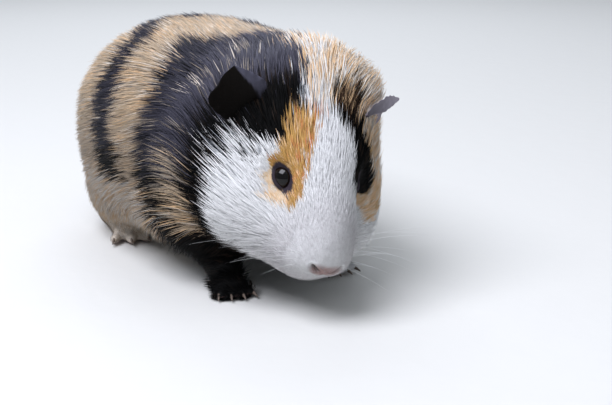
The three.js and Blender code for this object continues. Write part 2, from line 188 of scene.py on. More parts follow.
def to_head(points):
    """Points in the head's frame, in millimetres."""
    return (points - HEAD_ORIGIN) @ HEAD_AXES / MM


def from_head(x, y, z):
    """A point of the head's frame, given in millimetres."""
    return HEAD_ORIGIN + HEAD_AXES @ np.array([x, y, z], float) * MM


def ramp(values, start, end):
    """0 before start and 1 past end, with a smooth step between."""
    t = np.clip((values - start) / (end - start), 0, 1)
    return t * t * (3 - 2 * t)


def select_only(*pieces):
    bpy.ops.object.select_all(action="DESELECT")
    for piece in pieces:
        piece.select_set(True)
    bpy.context.view_layer.objects.active = pieces[0]


def apply_modifier(piece, kind, **settings):
    modifier = piece.modifiers.new(kind.title(), kind)
    for name, value in settings.items():
        setattr(modifier, name, value)
    select_only(piece)
    bpy.ops.object.modifier_apply(modifier=modifier.name)


def add_piece(name, mesh):
    piece = bpy.data.objects.new(name, mesh)
    bpy.context.collection.objects.link(piece)
    return piece


def edit_whole(piece, operator, **settings):
    """Runs an edit-mode operator on the whole of a piece."""
    select_only(piece)
    bpy.ops.object.mode_set(mode="EDIT")
    bpy.ops.mesh.select_all(action="SELECT")
    operator(**settings)
    bpy.ops.object.mode_set(mode="OBJECT")


def copy_of_node(node, name):
    """A copy of a CAD node's mesh as a piece of its own, with its loose triangles merged."""
    piece = add_piece(name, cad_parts[node].data.copy())
    piece.data.materials.clear()
    edit_whole(piece, bpy.ops.mesh.remove_doubles, threshold=MERGE_REACH)
    return piece


def read(items, attribute, width, kind=np.float32):
    """One attribute of a mesh's items as an array, a row for each item."""
    flat = np.empty(len(items) * width, kind)
    items.foreach_get(attribute, flat)
    return flat.reshape(-1, width)


def points_of(mesh):
    return read(mesh.vertices, "co", 3).astype(float)


def normals_of(mesh):
    return read(mesh.vertex_normals, "vector", 3).astype(float)


def set_points(mesh, points):
    mesh.vertices.foreach_set("co", points.astype(np.float32).ravel())
    mesh.update()


def relaxed(mesh, values, rounds):
    """Values at a mesh's vertices, each drawn halfway to its neighbours' mean, round after round."""
    a, b = read(mesh.edges, "vertices", 2, np.int32).T
    count = len(values)
    degree = np.bincount(a, minlength=count) + np.bincount(b, minlength=count)
    for _ in range(rounds):
        means = np.empty_like(values)
        for k in range(values.shape[1]):
            near = np.bincount(a, values[b, k], count) + np.bincount(b, values[a, k], count)
            means[:, k] = near / np.maximum(degree, 1)
        values = values + 0.5 * (means - values)
    return values


def smooth(piece, rounds):
    set_points(piece.data, relaxed(piece.data, points_of(piece.data), rounds))


def unit(vectors):
    return vectors / np.maximum(np.linalg.norm(vectors, axis=-1, keepdims=True), 1e-12)


def hump(distance, spread):
    """1 at no distance, falling off smoothly to nearly 0 at twice the spread."""
    return np.exp(-((distance / spread) ** 2))


TRUNK_AXIS = 0.052  # its height
HEAD_AXIS = -8  # its height in the head's frame, in millimetres


def round_trunk(points):
    """Degrees round the trunk from the spine: 90 on the right flank, -90 on the left, 180 below."""
    return np.degrees(np.arctan2(-points[:, 0], points[:, 2] - TRUNK_AXIS))


def round_head(head):
    """Degrees round the head from its crest: 90 on the right side, -90 on the left."""
    return np.degrees(np.arctan2(-head[:, 0], head[:, 2] - HEAD_AXIS))


# The neck narrows behind the left cheek, on the side that the head turns to, and its hair is shorter
# there. In millimetres, in the head's frame.
HOLLOW_PLACE = np.array([38.5, 27.5, 0.0])
HOLLOW_DEPTH, HOLLOW_SPREAD, HOLLOW_HAIR_SPREAD = 18.0, 10.5, 13.0
NECK_FRONT, NECK_REAR = -0.068, -0.030  # where the head passes into the trunk


def headness(points):
    """1 on the head and 0 on the trunk."""
    return 1 - ramp(points[:, 1], NECK_FRONT, NECK_REAR)


def jowl(head):
    """1 where soft hair puffs out over the jowls and behind the lips."""
    along = ramp(head[:, 1], -29, -17) * (1 - ramp(head[:, 1], 8, 20))
    around = round_head(head)
    return along * np.where(around > 0, ramp(around, 78, 108), ramp(-around, 100, 130))


# The hair's length in millimetres: on the head by its distance behind the brows, in millimetres too,
# and on the trunk by degrees from the spine.
HEAD_HAIR = (
    [-38, -30, -18, -6, 4, 14, 24, 36, 50],
    [1.5, 2.2, 3.2, 4.6, 6.6, 9.5, 13.0, 15.0, 17.0],
)
TRUNK_HAIR = ([0, 60, 110, 150, 180], [17, 17, 14, 10, 9])
FOOT_HAIR = 2.0
CHEEK_EXTRA, JOWL_EXTRA = 4.5, 3.0
COAT_RISE = 0.33  # how far the coat stands off the skin, as a share of the hair's length


def coat_length(points):
    """The length of the hair in millimetres: shortest on nose and feet, longest on the nape."""
    head = to_head(points)
    back = head[:, 1]
    on_head = np.interp(back, *HEAD_HAIR)
    cheek = ramp(np.abs(round_head(head)), 70, 115) * ramp(back, -8, 12)
    on_head += CHEEK_EXTRA * cheek + JOWL_EXTRA * jowl(head)
    on_trunk = np.interp(np.abs(round_trunk(points)), *TRUNK_HAIR)
    length = on_trunk + (on_head - on_trunk) * headness(points)
    near_eye = np.min(
        [np.linalg.norm(points - centre, axis=1) for centre in eye_centres.values()], axis=0
    )
    length *= 0.35 + 0.65 * ramp(near_eye, 6 * MM, 17 * MM)
    length *= 1 - 0.4 * hump(np.linalg.norm(head - HOLLOW_PLACE, axis=1), HOLLOW_HAIR_SPREAD)
    foot = (1 - ramp(points[:, 2], 0.007, 0.032)) * (length > FOOT_HAIR) * (back > -8)
    return length + (FOOT_HAIR - length) * foot


SOCKET_WALL = 0.9 * MM  # the flesh round each eyeball
DRAWING_STEPS = 3

parts = [copy_of_node(node, "skin_" + node) for node in FLESH]
for centre in eye_centres.values():
    bpy.ops.mesh.primitive_uv_sphere_add(
        segments=32, ring_count=16, radius=EYE_RADIUS + SOCKET_WALL, location=centre
    )
    bpy.ops.object.transform_apply(location=True)
    parts.append(bpy.context.object)
select_only(*parts)
bpy.ops.object.join()
skin = bpy.context.object
skin.name = "skin"
apply_modifier(skin, "DISPLACE", strength=GAP_COVER, mid_level=0.0)
apply_modifier(skin, "REMESH", mode="VOXEL", voxel_size=FUSE_VOXEL)
smooth(skin, rounds=14)
for _ in range(DRAWING_STEPS):
    outer = points_of(skin.data)
    from_hollow = np.linalg.norm(to_head(outer) - HOLLOW_PLACE, axis=1)
    depth = coat_length(outer) * COAT_RISE + HOLLOW_DEPTH * hump(from_hollow, HOLLOW_SPREAD)
    drawn = outer - normals_of(skin.data) * (depth * MM / DRAWING_STEPS)[:, None]
    set_points(skin.data, relaxed(skin.data, drawn, rounds=2))

# Each toe runs from its claw back into the foot. They join the hide before it is fused again.
TOE_RADIUS, TOE_HALF_LENGTH = 2.5 * MM, 6.0 * MM
TOE_TIP = 0.7 * MM  # how far it passes the claw's middle
CLAWS = sorted(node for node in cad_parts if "claw" in node)
toes = [skin]
for claw in CLAWS:
    foot = claw.rsplit("_", 1)[0].replace("claw", "foot")
    claw_middle = sum(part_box(claw), Vector()) / 2
    foot_middle = sum(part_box(foot), Vector()) / 2
    heading = (claw_middle - foot_middle) * Vector((1, 1, 0))
    heading.normalize()
    toe_middle = claw_middle - heading * (TOE_HALF_LENGTH - TOE_TIP)
    toe_middle.z = 1.05 * TOE_RADIUS  # just off the floor
    bpy.ops.mesh.primitive_uv_sphere_add(
        segments=20,
        ring_count=12,
        radius=1,
        location=toe_middle,
        rotation=heading.to_track_quat("Y", "Z").to_euler(),
        scale=(TOE_RADIUS, TOE_HALF_LENGTH, TOE_RADIUS),
    )
    bpy.ops.object.transform_apply(location=True, rotation=True, scale=True)
    toes.append(bpy.context.object)
select_only(*toes)
bpy.ops.object.join()
apply_modifier(skin, "REMESH", mode="VOXEL", voxel_size=SKIN_VOXEL)
smooth(skin, rounds=4)

# The face is cut finer round the eyes and the nose, and modelled there.
NOSE_TIP = from_head(0, -36, -10)
LID_REACH, NOSE_REACH = 10.5 * MM, 9.5 * MM


def refine(piece, chosen, cuts):
    """Cuts the chosen faces finer."""
    select_only(piece)
    bpy.ops.object.mode_set(mode="EDIT")
    bpy.ops.mesh.select_mode(type="FACE")
    bpy.ops.mesh.select_all(action="DESELECT")
    bpy.ops.object.mode_set(mode="OBJECT")
    piece.data.polygons.foreach_set("select", chosen)
    bpy.ops.object.mode_set(mode="EDIT")
    bpy.ops.mesh.subdivide(number_cuts=cuts)
    bpy.ops.object.mode_set(mode="OBJECT")


centres = read(skin.data.polygons, "center", 3)
fine = np.linalg.norm(centres - NOSE_TIP, axis=1) < NOSE_REACH
for centre in eye_centres.values():
    fine |= np.linalg.norm(centres - centre, axis=1) < LID_REACH
refine(skin, fine, cuts=3)
smooth(skin, rounds=3)

# The lids close over the eyeball to an almond opening whose long axis points to the nose. Half its
# length and half its height are angles seen from the eyeball's centre. The two directions are the
# left eye's, in the head's frame.
EYE_OUTWARD = np.array([0.524, -0.504, 0.701])
EYE_TO_FRONT_CORNER = np.array([-0.487, -0.80, -0.348])
OPENING = (math.radians(62), math.radians(34))
FRONT_CORNER_REACH = 1.15
ALMOND, RIM_ALMOND = 1.7, 1.8  # the exponent of each outline: 2 is an ellipse and 1 a diamond
LID_RIM, BROW_RIM, FRONT_LID_RIM = 1.75, -0.85, 2.2  # millimetres
LIDS_BACK = -1.5 * MM  # they end this far behind the eyeball's centre
OFF_THE_LIDS = 9.0  # in rims' widths, for all that lies further back
LID_THICKNESS = 0.6 * MM
LID_TURN = (0.93, 1.13)  # in openings: where the skin comes out from under the eyeball's surface
LID_ROLL, ROLL_PLACE, ROLL_SPREAD = 0.25 * MM, 1.28, 0.12  # the rolled edge: height, and in openings
EYE_DEPTH = 1.3 * MM  # how far the hidden skin passes under the eyeball's surface


def eye_angles(points, side):
    """How far a point lies from the middle of an eye's opening, 1 on the lids' edge, its angle from
    the eye's axis, and how far past the opening it looks from straight ahead, in rims' widths."""
    mirror = [SIDES[side], 1, 1]
    outward = HEAD_AXES @ unit(EYE_OUTWARD * mirror)
    front = HEAD_AXES @ (EYE_TO_FRONT_CORNER * mirror)
    front = unit(front - outward * (front @ outward))
    across = np.cross(outward, front)
    away = points - eye_centres[side]
    out, long, high = away @ outward, away @ front, away @ across
    tilt = np.arctan2(np.hypot(long, high), out)
    along = tilt * long / np.maximum(np.hypot(long, high), 1e-9)
    aside = tilt * high / np.maximum(np.hypot(long, high), 1e-9)
    # The corners are drawn out to points, the front one further.
    stretch = np.where(long > 0, FRONT_CORNER_REACH, 1.0)
    reach = np.abs(along / (OPENING[0] * stretch)) ** ALMOND + np.abs(aside / OPENING[1]) ** ALMOND
    # The dark rim is wider behind and below than towards the brow, and drawn out past the front.
    off_axis = np.hypot(long, high) / MM
    edge_along = EYE_RADIUS / MM * math.sin(OPENING[0]) * stretch
    edge_aside = EYE_RADIUS / MM * math.sin(OPENING[1])
    seen = np.abs(long / MM / edge_along) ** RIM_ALMOND + np.abs(high / MM / edge_aside) ** RIM_ALMOND
    seen = np.maximum(seen, 1e-6) ** (1 / RIM_ALMOND)
    browward = -SIDES[side] * high / MM / np.maximum(off_axis, 1e-6)
    forward = long / MM / np.maximum(off_axis, 1e-6)
    rim = LID_RIM + BROW_RIM * ramp(browward, -0.2, 0.8) + FRONT_LID_RIM * ramp(forward, 0.75, 1.0)
    past = np.where(out > LIDS_BACK, off_axis * (1 - 1 / seen) / rim, OFF_THE_LIDS)
    return reach ** (1 / ALMOND), tilt, past


points = points_of(skin.data)
for side, centre in eye_centres.items():
    away = points - centre
    distance = np.linalg.norm(away, axis=1)
    opening, tilt, _ = eye_angles(points, side)
    lid = EYE_RADIUS + LID_THICKNESS - (LID_THICKNESS + EYE_DEPTH) * (1 - ramp(opening, *LID_TURN))
    lid += LID_ROLL * hump(opening - ROLL_PLACE, ROLL_SPREAD)
    # The lids' shape dies out to the side of the eyeball and away from it.
    hold = (1 - ramp(np.degrees(tilt), 62, 92)) * (1 - ramp(distance, 0.8 * LID_REACH, LID_REACH))
    radius = distance + (lid - distance) * hold
    points = centre + away * (radius / distance)[:, None]

# The nostrils are commas that rise outwards. Under them the groove of the lip runs down to the mouth.
# Strokes, widths and depths are in millimetres, in the head's frame.
NOSTRILS = [((s * 2.9, -37.6, -11.0), (s * 6.0, -36.4, -8.6)) for s in SIDES.values()]
NOSTRIL_HALF_WIDTH, NOSTRIL_DEPTH = 1.5, 3.0
WING_HEIGHT, WING_PLACE, WING_SPREAD = 0.45, 2.3, 0.7  # the swollen edge round each nostril
LIP_GROOVE = ((0, -37.6, -13.0), (0, -33.0, -20.5))
LIP_DEPTH = 0.7
MOUTH = [((0, -33.0, -20.5), (s * 6.0, -27.0, -23.5)) for s in SIDES.values()]
MOUTH_DEPTH = 0.9


def distance_to_stroke(head, stroke):
    """Distances in millimetres from points of the head's frame to a straight stroke."""
    start, end = np.array(stroke, float)
    share = np.clip((head - start) @ (end - start) / ((end - start) @ (end - start)), 0, 1)
    return np.linalg.norm(head - start - share[:, None] * (end - start), axis=1)


head = to_head(points)
nostril_near = np.min([distance_to_stroke(head, stroke) for stroke in NOSTRILS], axis=0)
lip_near = distance_to_stroke(head, LIP_GROOVE)
inwards = NOSTRIL_DEPTH * (1 - ramp(nostril_near, 0.3, NOSTRIL_HALF_WIDTH))
inwards -= WING_HEIGHT * hump(nostril_near - WING_PLACE, WING_SPREAD)
inwards += LIP_DEPTH * (1 - ramp(lip_near, 0.1, 1.3))
for stroke in MOUTH:
    inwards += MOUTH_DEPTH * (1 - ramp(distance_to_stroke(head, stroke), 0.1, 1.4))
set_points(skin.data, points)
set_points(skin.data, points - normals_of(skin.data) * (inwards * MM)[:, None])

# ---- Ears ------------------------------------------------------------
# A guinea pig's ear is a bare petal of thin leathery skin, cupped forwards, with a crinkled rim and
# its inner edge rolled over. It grows out of the fur behind the eye. The hide carries both ears.

# Where each ear grows from, which way, the way its blade is wide, its scale, and how far its root
# lies back. All the ears' sizes are in millimetres, and their places in the head's frame.
EARS = {
    "right": {
        "base": (-29, 23, 6),
        "out": (-0.36, 0.72, 0.6),
        "across": (-0.9, 0.13, -0.4),
        "scale": 1.0,
        "set_back": 5.5,
    },
    "left": {
        "base": (19.5, 23.9, 10.7),
        "out": (0.74, 0.54, 0.38),
        "across": (0.3, 0.7, -0.65),
        "scale": 0.9,
        "set_back": 1.5,
    },
}
# The rim from root to tip: height up the ear, reach to the outer and to the inner side of the base's
# middle, and where the front edge is creased over, counted towards the outer side.
RIM_HEIGHT = (0, 4.5, 8.0, 10.3, 12.0, 14.4, 16.2, 18.0, 20.2)
RIM_OUTER = (8.6, 11.7, 13.0, 12.8, 11.7, 8.2, 6.8, 4.7, 0.3)
RIM_INNER = (8.6, 10.9, 10.7, 10.1, 9.3, 7.0, 5.3, 2.9, 0.2)
CREASE = (-6.5, -6.2, -5.8, -4.9, -4.1, -2.6, -1.7, -0.8, 0.0)
CREASE_HEIGHT, CREASE_SPREAD, FLAP_SLOPE = 2.6, 2.2, 0.75  # past the crease, the flap slopes back
CUP = 0.022  # the blade's hollow: its depth rises with the square of the distance from the crease
EAR_THICKNESS = 1.1
EAR_ROWS, EAR_SIDES = 48, 72
EAR_ANGLES = np.linspace(0, 2 * math.pi, EAR_SIDES, endpoint=False)
# Inside, outside, and the creased edge. The outside and the crease are paler partly by a painted
# sheen on the leather.
EAR_SKIN = {"right": ("#0b0806", "#35323a", "#595866"), "left": ("#7d7680", "#938c97", "#a09aa6")}


def ear_mesh(side):
    """The ear's points row by row from root to tip, its faces, and how far each is past the crease."""
    ear = EARS[side]
    grow = unit(np.array(ear["out"]))
    wide = np.array(ear["across"], float)
    wide = unit(wide - grow * (wide @ grow))
    front = np.cross(wide, grow) * SIDES[side]
    height = np.linspace(0, RIM_HEIGHT[-1], EAR_ROWS)[:, None]
    t = height / RIM_HEIGHT[-1]
    outer, inner, crease = (np.interp(height, RIM_HEIGHT, rim) for rim in (RIM_OUTER, RIM_INNER, CREASE))
    x = (outer - inner) / 2 + (outer + inner) / 2 * np.cos(EAR_ANGLES)
    past = crease - x
    fold = CREASE_HEIGHT * np.sqrt(np.maximum(1 - t, 0)) * ramp(t, 0.1, 0.45)
    cup = np.where(past > 0, -FLAP_SLOPE * past, 0.0) + fold * np.exp(-np.abs(past) / CREASE_SPREAD)
    cup = cup + CUP * np.where(past < 0, past, 0.0) ** 2
    thick = EAR_THICKNESS * (1.7 - t) / 2
    rim = np.abs(np.cos(EAR_ANGLES)) ** 6
    crinkle = 0.22 * rim * np.sin(t * 33 + x * 0.7) + 0.1 * np.sin(x * 1.9 + t * 9) * t
    bow = (0.4 * ear["set_back"] + 1.6) * t * t - ear["set_back"] * (1 - t) ** 2
    places = (
        np.array(ear["base"], float)
        + (height + 0 * x)[..., None] * ear["scale"] * grow
        + x[..., None] * ear["scale"] * wide
        + (bow + cup + crinkle + thick * np.sin(EAR_ANGLES))[..., None] * ear["scale"] * front
    )
    points = HEAD_ORIGIN + places.reshape(-1, 3) @ HEAD_AXES.T * MM
    faces = []
    for row in range(EAR_ROWS - 1):
        for i in range(EAR_SIDES):
            j = (i + 1) % EAR_SIDES
            a, b = row * EAR_SIDES, (row + 1) * EAR_SIDES
            faces.append((a + i, a + j, b + j, b + i))
    faces.append(tuple(range(EAR_SIDES))[::-1])
    faces.append(tuple(range((EAR_ROWS - 1) * EAR_SIDES, EAR_ROWS * EAR_SIDES)))
    return points, faces, past.ravel()


def ear_colours(side, past):
    """An ear's colours at its points: darkest inside at the root, a painted shade, and palest along the
    creased edge and the upper rim, a painted sheen.
    """
    inside, outside, edge = (np.array(linear(code)) for code in EAR_SKIN[side])
    angle = np.tile(EAR_ANGLES, EAR_ROWS)
    behind = ramp(-np.sin(angle), -0.2, 0.2)[:, None]
    creased = ramp(past, -0.4, 0.5)[:, None]
    up = np.repeat(np.linspace(0, 1, EAR_ROWS), EAR_SIDES)[:, None]
    rim = np.abs(np.cos(angle))[:, None] ** 40
    # The inside and the crease are darkened towards the root by a painted shade, and the upper rim is
    # lightened by a painted sheen.
    colours = inside * (0.5 + 0.8 * up) * (1 - creased) + edge * (0.25 + 0.75 * up) * creased
    colours = colours * (1 - behind) + outside * behind
    return colours + 0.5 * (edge - colours) * rim * ramp(up, 0.5, 0.9)


def set_colours(mesh, colours):
    layer = mesh.color_attributes.new("coat_colour", "FLOAT_COLOR", "POINT")
    rgba = np.ones((len(colours), 4), np.float32)
    rgba[:, :3] = np.clip(colours, 0, 1)
    layer.data.foreach_set("color", rgba.ravel())


def varied_tint(tree, place, patch_size, detail, darkest, lightest):
    """The piece's own colour, varied between two tones by patches of a size."""
    tint = add_node(tree, "ShaderNodeAttribute", {}, attribute_name="coat_colour")
    patches = add_node(
        tree, "ShaderNodeTexNoise", {"Vector": place, "Scale": 1 / patch_size, "Detail": detail}
    )
    spread = {"From Min": 0.3, "From Max": 0.7, "To Min": darkest, "To Max": lightest}
    tone = add_node(tree, "ShaderNodeMapRange", {"Value": patches.outputs["Fac"], **spread})
    varied = add_node(
        tree, "ShaderNodeHueSaturation", {"Color": tint.outputs["Color"], "Value": tone.outputs["Result"]}
    )
    return varied.outputs["Color"]


MOTTLE_SIZE = MM / 0.42  # patches of more and less pigment, 2.4 mm across


def skin_or_horn(name, roughness, gloss, pore_size, pore_depth):
    """Skin or horn with its own tint, mottled a little, and a fine relief."""
    material, tree = new_material(name)
    place = add_node(tree, "ShaderNodeTexCoord", {}).outputs["Object"]
    mottled = varied_tint(tree, place, MOTTLE_SIZE, detail=3.0, darkest=0.9, lightest=1.08)
    pores = add_node(tree, "ShaderNodeTexNoise", {"Vector": place, "Scale": 1 / pore_size, "Detail": 4.0})
    relief = add_node(
        tree, "ShaderNodeBump", {"Height": pores.outputs["Fac"], "Distance": pore_depth, "Strength": 0.6}
    )
    shader = add_node(
        tree,
        "ShaderNodeBsdfPrincipled",
        {
            "Base Color": mottled,
            "Roughness": roughness,
            "Specular IOR Level": gloss,
            "Normal": relief.outputs["Normal"],
        },
    )
    add_node(tree, "ShaderNodeOutputMaterial", {"Surface": shader.outputs["BSDF"]})
    return material


# Bare ear skin: leathery and matt, with a grain drawn 1.1 mm wide, coarser than real, so that it shows.
ear_leather = skin_or_horn(
    "ear_leather", roughness=0.5, gloss=0.06, pore_size=1.1 * MM, pore_depth=0.2 * MM
)

ears = []
for side in SIDES:
    ear_points, ear_faces, past_crease = ear_mesh(side)
    mesh = bpy.data.meshes.new("ear_" + side)
    mesh.from_pydata(ear_points.tolist(), [], ear_faces)
    ear = add_piece("ear_skin_" + side, mesh)
    edit_whole(ear, bpy.ops.mesh.normals_make_consistent, inside=False)
    set_colours(mesh, ear_colours(side, past_crease))
    mesh.materials.append(ear_leather)
    ears.append(ear)

# ---- Markings --------------------------------------------------------
# A tortoiseshell-and-white coat. Hide and hair take their colour from the same map, written in
# millimetres along the body and degrees round it, so that a marking goes on from hair to skin.

WHITE = "#e3e3e3"
CREAM = "#e3d7c8"
PALE_TAN = "#e2bd92"
SAND = "#bda78c"
BUFF = "#e8cfae"
GOLD = "#bb9150"
ORANGE = "#c37c4a"
GREY_TAN = "#94887a"
# Black hair with the sky's sheen painted into its colour, and the same with a brighter painted sheen.
BLACK_PAINTED_SHEEN = "#35343d"
BLACK_BRIGHT_PAINTED_SHEEN = "#494853"
BLACK = "#070707"
UMBER = "#2a211b"
PEPPER = "#8e9399"
BRINDLE = "#4a382b"


def trunk_markings(points, wobble):
    """Colour names of the trunk and legs: bands of tan, and of black with a painted sheen, over the
    back, a pale belly.
    """
    y = points[:, 1] / MM + 0.5 * wobble - 1  # millimetres rearwards
    around = round_trunk(points) + wobble
    down = np.abs(around)  # degrees down from the spine
    left = around <= -2
    rump_edge = np.interp(down, [0, 22, 37, 50, 80, 100, 120], [90, 74, 56, 48, 43, 29, 20])
    saddle_rear = np.interp(down, [0, 6, 12, 33, 50, 65, 85, 94, 110], [34, 46, 62, 32, 31, 17, 13, 2, -6])
    saddle_front = np.interp(
        down,
        [0, 10, 14, 16, 20, 26, 43, 58, 77, 96, 110],
        [-60, -45, -30, -18, -4, 7, -4, -12, -13, -14, -17],
    )
    stripe_rear = np.interp(down, [60, 72, 92, 107, 131], [-35, -34, -35, -36, -38])
    # Black bands, with a painted sheen of the sky that makes them slate, a sandy saddle between them
    # and a sandy rump; lower down the black has no painted sheen.
    names = np.full(len(points), BLACK_PAINTED_SHEEN, object)
    names[(y > saddle_front) & (y < saddle_rear)] = SAND
    names[y > rump_edge] = SAND
    names[(names == BLACK_PAINTED_SHEEN) & (down > 95)] = BLACK
    # On the shoulders the black's painted sheen is brighter, and low on them a sandy stripe stands behind
    # the black of the neck.
    names[(y < -22 - 0.14 * down) & (down < 88)] = BLACK_BRIGHT_PAINTED_SHEEN
    names[(y < stripe_rear) & (y > -48) & (down > 80)] = GREY_TAN
    names[(y < stripe_rear) & (y > -47) & (down > 98)] = SAND
    names[(y <= -48) & (down > 82)] = BLACK
    # The belly is pale behind and umber under the chest.
    names[(down > 106) & (y > -20)] = CREAM
    names[(down > 128) & (y <= -20)] = UMBER
    # The left side has a cream nape, black with painted sheen on the loins and a white lower flank.
    names[left & (y < saddle_front) & (down < 42)] = CREAM
    names[left & (y < -46) & (down < 100)] = CREAM
    names[left & (y > -4) & (y < 60) & (down > 14) & (down < 44)] = BLACK_PAINTED_SHEEN
    names[left & (down > 104)] = WHITE
    names[(down > 142) & (y > -30)] = WHITE
    # The right foreleg is black, the left one white, and the hind legs are cream.
    legs = points[:, 2] < 0.025
    front = points[:, 1] < -0.015
    names[legs & front & (points[:, 0] < 0)] = BLACK
    names[legs & front & (points[:, 0] > 0)] = WHITE
    names[legs & ~front & (np.abs(points[:, 0]) > 0.024)] = CREAM
    return names


def head_markings(head, wobble):
    """Colour names of the head: white muzzle, cheeks and blaze, gold and black patches."""
    y = head[:, 1] + wobble
    right = round_head(head)
    left = -right
    names = np.full(len(head), WHITE, object)
    # Right of the blaze: gold from the crown down round the eye, black behind it to the ear.
    blaze_right = np.interp(y, [-13.4, -11, -3.3, 6, 16.3, 26.5], [66, 39, 25, 18.6, 9.5, 6])
    gold_outer = np.interp(
        y,
        [-15.8, -12.2, -7.5, -4.2, -0.4, 4.0, 5.6, 7.0, 11, 18, 24.6, 29],
        [55, 75, 90, 92.5, 88, 80, 70, 56, 48, 37, 25.4, 22],
    )
    cheek_top = np.interp(y, [11, 13.6, 20.3, 22.9, 24, 26], [55, 61, 68, 84, 110, 150])
    gold = (right > blaze_right) & (right < gold_outer) & (y > -13.4) & (y < 28)
    names[gold] = GOLD
    names[gold & (right < blaze_right + 7) & (y > -8)] = ORANGE
    names[gold & (right > 70) & (y < 6)] = BUFF
    names[(right > gold_outer) & (right < cheek_top) & (y > 10.5)] = BLACK
    pale_nape = np.interp(y, [16, 22, 28, 36, 42, 48, 54, 62], [20, 24, 23, 18, 14, 12, 18, 27])
    names[(right > blaze_right) & (right < pale_nape) & (y > 22)] = CREAM
    names[(right > 10) & (right < pale_nape) & (y > 23) & (y < 34)] = PEPPER
    names[(right > pale_nape) & (y > 26)] = BLACK
    names[(right > 60) & (y > 23)] = BLACK
    # Far back on the nape the black's painted sheen is brighter.
    names[(right > pale_nape) & (y > 37)] = BLACK_BRIGHT_PAINTED_SHEEN
    # Left of the blaze: a black strip from the brow to the eye, tan behind it, cream on the nape.
    blaze_left = np.interp(
        y, [-10.5, -5, 3.3, 11, 16.4, 19.6, 25.2, 28], [43, 27, 29, 25.5, 18.2, 11.2, 5.9, 0.6]
    )
    strip_outer = np.interp(y, [-9, -4, 4, 12, 16, 21.4, 24], [48, 76, 90, 90, 55, 43.7, 30])
    names[(left > blaze_left) & (left < strip_outer) & (y > -9) & (y < 28)] = BLACK
    names[(left > strip_outer) & (left < 108) & (y > -6) & (y < 24)] = PALE_TAN
    names[(left > 40) & (left < 120) & (y > 15.5)] = PALE_TAN
    names[(left > -4) & (left < 110) & (y > 24)] = CREAM
    names[(left > 5) & (left < 34) & (y > 22) & (y < 35)] = BRINDLE
    names[(left > 110) & (y > 20)] = WHITE
    # On top of the right cheek white hair thins out over black.
    names[(names == WHITE) & (right > 48) & (right < 100) & (y > 12)] = PEPPER
    return names


CHIN = -34  # the lowest the head reaches in its own frame, in millimetres
CHEEK_REAR = -64  # along the body, in millimetres
# Long light locks that sweep back from the blaze over the dark nape: colour, path and half width.
STREAKS = [
    (PALE_TAN, ((-4, 24, 22), (-11, 36, 21), (-17, 49, 18)), 0.8),
    (WHITE, ((-6.4, 34, 23), (-10.2, 40, 22), (-14, 52, 17.5)), 1.0),
    (WHITE, ((-7, 29, 22.6), (-5, 43, 22.8)), 1.1),
    (CREAM, ((-11, 18, 18), (-12, 30, 21)), 1.3),
]


def marking_names(points):
    """Colour names at points of the hide or the hair, with edges that waver by a few millimetres."""
    head = to_head(points)
    x, y, z = head.T
    wobble = 1.3 * np.sin(0.45 * x + 0.31 * z) + 0.9 * np.sin(0.8 * z + 0.35 * y + 1.3)
    names = trunk_markings(points, 1.6 * wobble)
    on_head = (headness(points) > 0.5) & ((points[:, 2] > 0.03) | (z > CHIN))
    names[on_head] = head_markings(head, wobble)[on_head]
    # The right cheek's white ends on a line round the neck, in front of a black band.
    behind_cheek = (points[:, 1] / MM + 0.6 * wobble > CHEEK_REAR) & (points[:, 2] < 0.064)
    names[on_head & behind_cheek & (x < 0)] = BLACK
    for code, path, width in STREAKS:
        for stroke in zip(path, path[1:]):
            names[distance_to_stroke(head, stroke) < width] = code
    return names


# Each coat colour is ticked with hairs of others: (colour, share) pairs.
TICKING = {
    CREAM: ((PALE_TAN, 0.42), (WHITE, 0.08)),
    SAND: ((CREAM, 0.08), (PALE_TAN, 0.15), (GREY_TAN, 0.1)),
    PALE_TAN: ((CREAM, 0.25), (GOLD, 0.1)),
    BUFF: ((WHITE, 0.25), (PALE_TAN, 0.25)),
    GOLD: ((PALE_TAN, 0.16), (ORANGE, 0.08), (UMBER, 0.05)),
    ORANGE: ((GOLD, 0.4), (WHITE, 0.08)),
    GREY_TAN: ((BLACK_PAINTED_SHEEN, 0.15), (SAND, 0.25)),
    BLACK_PAINTED_SHEEN: ((GREY_TAN, 0.02), (BLACK, 0.15)),
    BLACK_BRIGHT_PAINTED_SHEEN: ((BLACK_PAINTED_SHEEN, 0.3), (GREY_TAN, 0.04), (CREAM, 0.012)),
    BLACK: ((UMBER, 0.08),),
    BRINDLE: ((PALE_TAN, 0.25), (BLACK, 0.4)),
    PEPPER: ((WHITE, 0.5), (BLACK, 0.3)),
}
WHITES, DARKS = (WHITE, CREAM, BUFF, PEPPER), (BLACK_PAINTED_SHEEN, BLACK_BRIGHT_PAINTED_SHEEN, BLACK, UMBER, BRINDLE)
TANS = (PALE_TAN, SAND, GOLD, ORANGE, GREY_TAN)
SWATCHES = {code: np.array(linear(code)) for code in (*WHITES, *DARKS, *TANS)}


def swatches(names):
    return np.array([SWATCHES[name] for name in names])


# ---- Hide ------------------------------------------------------------
# The skin under the coat has the colour of the hair that grows from it, darkened by a painted shade
# for the coat over it. Lids, nostrils, lips and soles are bare, and the nose has only down. Skin and
# ears become one hide with one bake map.

SKIN_PAINTED_SHADE = 0.8
BARE_PINK = "#b99a94"
LID_SKIN = "#332c34"
NOSE_SKIN = "#9a807c"
# The near-black of the nostrils and the lip's groove is painted shade.
RECESS_SHADE = "#140b0a"
NOSE_PAD = ((-3.5, -37, -10), (3.5, -37, -10))  # in the head's frame, in millimetres

hide_points = points_of(skin.data)
hide_head = to_head(hide_points)


def lay_colour(colours, amount, code):
    """Lays a colour over colours, by an amount for each point."""
    return colours + amount[:, None] * (np.array(linear(code)) - colours)


